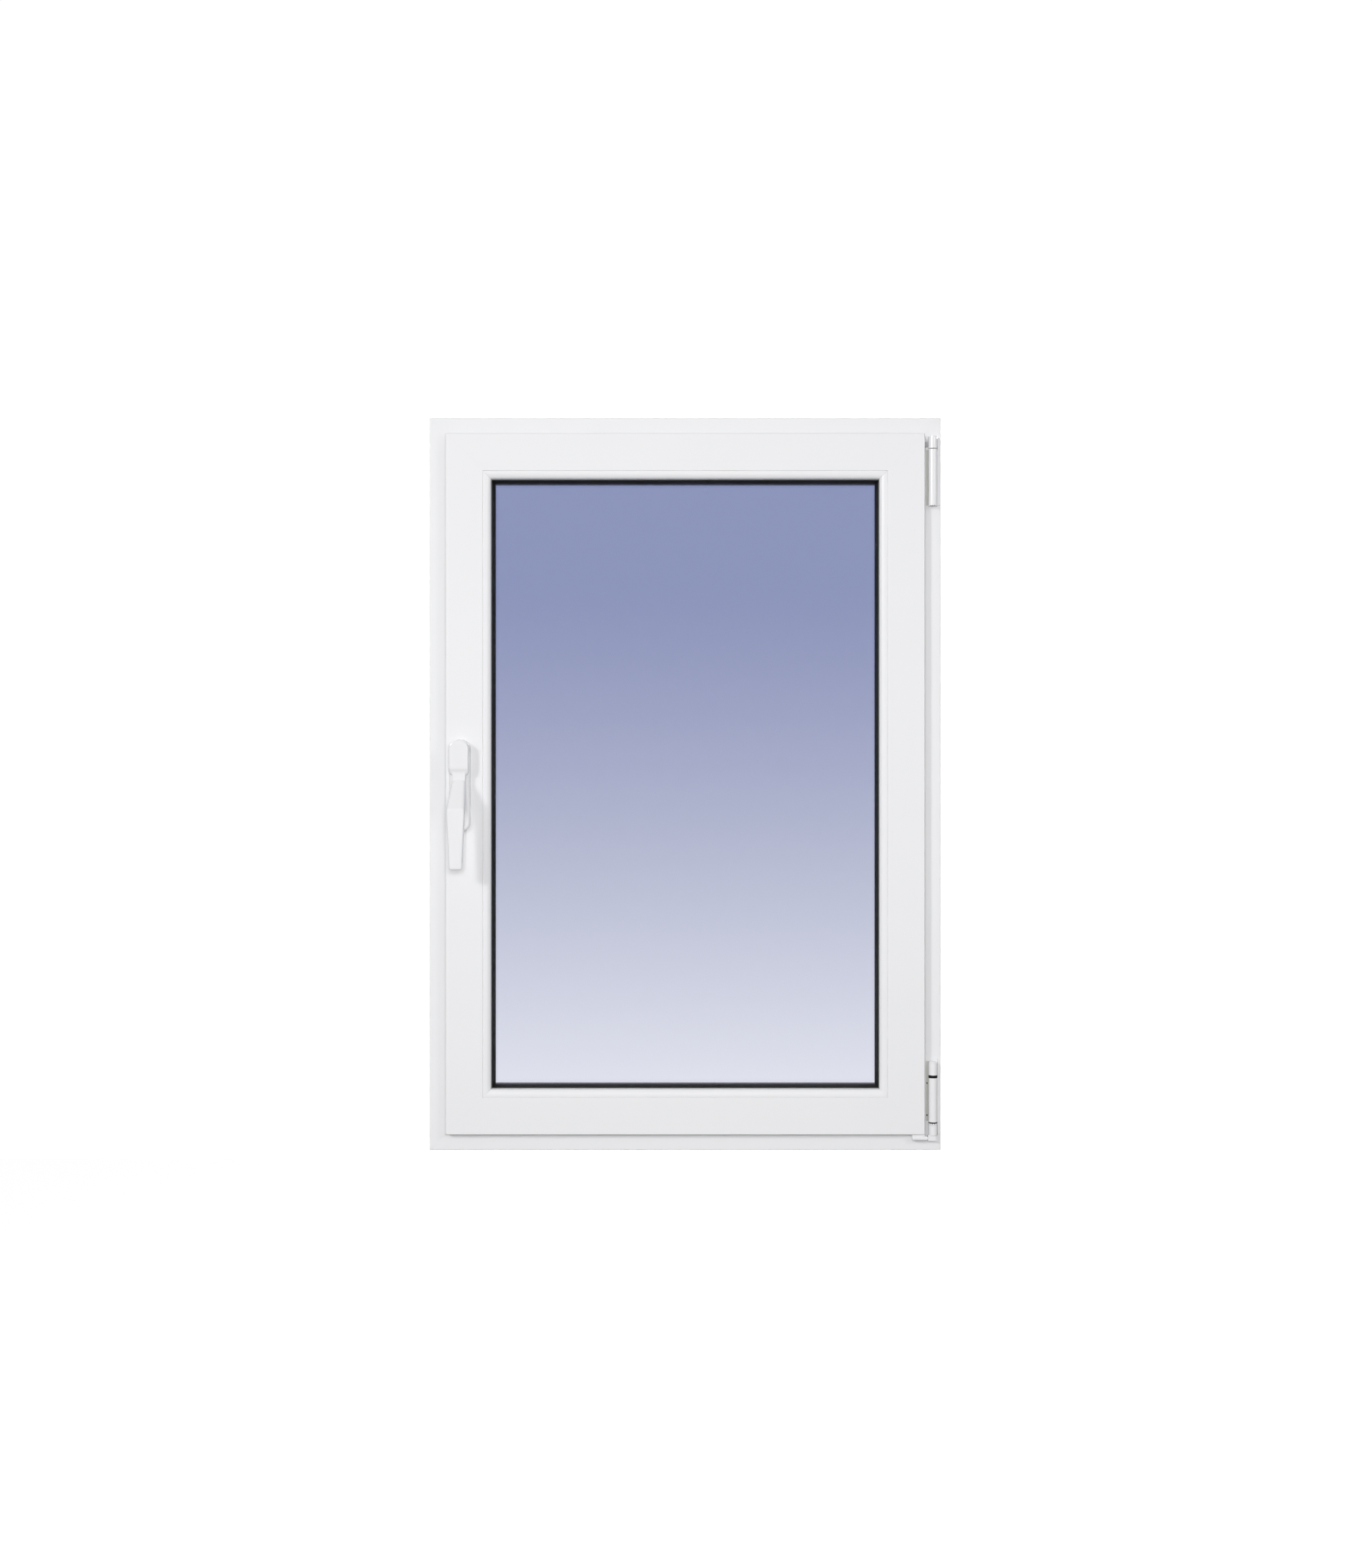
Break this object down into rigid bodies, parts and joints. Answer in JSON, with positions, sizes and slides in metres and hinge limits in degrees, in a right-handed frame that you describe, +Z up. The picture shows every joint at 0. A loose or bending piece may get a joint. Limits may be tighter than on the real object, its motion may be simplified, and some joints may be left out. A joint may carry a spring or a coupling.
{
  "type": "casement window",
  "caption": "White aluminium tilt-and-turn casement window: mitred frame, inward-opening double-glazed sash, lever handle on one stile, barrel hinges on the other.",
  "frame": {"origin": "centre of the sill's flat underside", "axes": "+X to the hinge side as seen from the room, +Y outdoors, +Z up"},
  "size_m": [0.7, 0.1146, 1.003],
  "materials": {
    "frame_white": "smooth white powder coat",
    "sash_white": "smooth white powder coat",
    "bead_white": "smooth white powder coat",
    "hinge_white": "smooth white powder coat",
    "handle_white": "smooth white powder coat",
    "steel": "zinc plated",
    "black_rubber": "matt black",
    "black_plastic": "matt black",
    "white_plastic": "satin white",
    "spacer_grey": "dark grey",
    "glass": "clear float with a blue cast"
  },
  "bodies": {
    "frame": {"frame_sill": "frame_white", "frame_head": "frame_white", "frame_left_jamb": "frame_white", "frame_right_jamb": "frame_white", "frame_gasket": "black_rubber", "drain_covers": "white_plastic", "upper_hinge_barrel": "hinge_white", "upper_hinge_pin": "steel", "lower_hinge_barrel": "hinge_white", "lower_hinge_cap": "hinge_white", "lower_hinge_washers": "black_plastic", "lower_hinge_pin": "steel", "upper_hinge_ring": "black_plastic", "hinge_shims": "white_plastic", "lock_keeps": "steel"},
    "corner_pivot": {"corner_pivot": "hinge_white"},
    "sash": {"sash_bottom_rail": "sash_white", "sash_top_rail": "sash_white", "sash_lock_stile": "sash_white", "sash_hinge_stile": "sash_white", "bottom_bead": "bead_white", "top_bead": "bead_white", "left_bead": "bead_white", "right_bead": "bead_white", "inner_pane": "glass", "outer_pane": "glass", "edge_seal": "black_rubber", "spacer_bar": "spacer_grey", "inner_glazing_gasket": "black_rubber", "outer_glazing_gasket": "black_rubber", "flap_gasket": "black_rubber", "tilt_eye": "hinge_white", "handle_base": "handle_white", "stay_guide": "steel"},
    "stay_arm": {"stay_arm": "steel", "stay_eye_cover": "hinge_white"},
    "handle": {"handle_lever": "handle_white"},
    "lock_rod": {"lock_rod": "steel"}
  },
  "joints": [
    {"name": "sash_turn", "type": "hinge", "parent": "frame", "child": "corner_pivot", "pos_m": [0.3385, -0.03, 0.03], "axis": [0, 0, 1], "range_deg": [0, 90]},
    {"name": "sash_tilt", "type": "hinge", "parent": "corner_pivot", "child": "sash", "pos_m": [0.3205, -0.03, 0.0174], "axis": [1, 0, 0], "range_deg": [0, 8]},
    {"name": "stay_swing", "type": "hinge", "parent": "corner_pivot", "child": "stay_arm", "pos_m": [0.3385, -0.03, 0.9675], "axis": [0, 0, 1], "range_deg": [0, 30]},
    {"name": "handle_turn", "type": "hinge", "parent": "sash", "child": "handle", "pos_m": [-0.307, -0.0435, 0.5372], "axis": [0, -1, 0], "range_deg": [0, 180]},
    {"name": "lock_slide", "type": "slide", "parent": "sash", "child": "lock_rod", "axis": [0, 0, 1], "range_m": [0, 0.036]}
  ],
  "couplings": [
    {"joint": "stay_swing", "follows": "sash_tilt", "ratio": 3.75},
    {"joint": "lock_slide", "follows": "handle_turn", "m_per_rad": 0.011459}
  ]
}
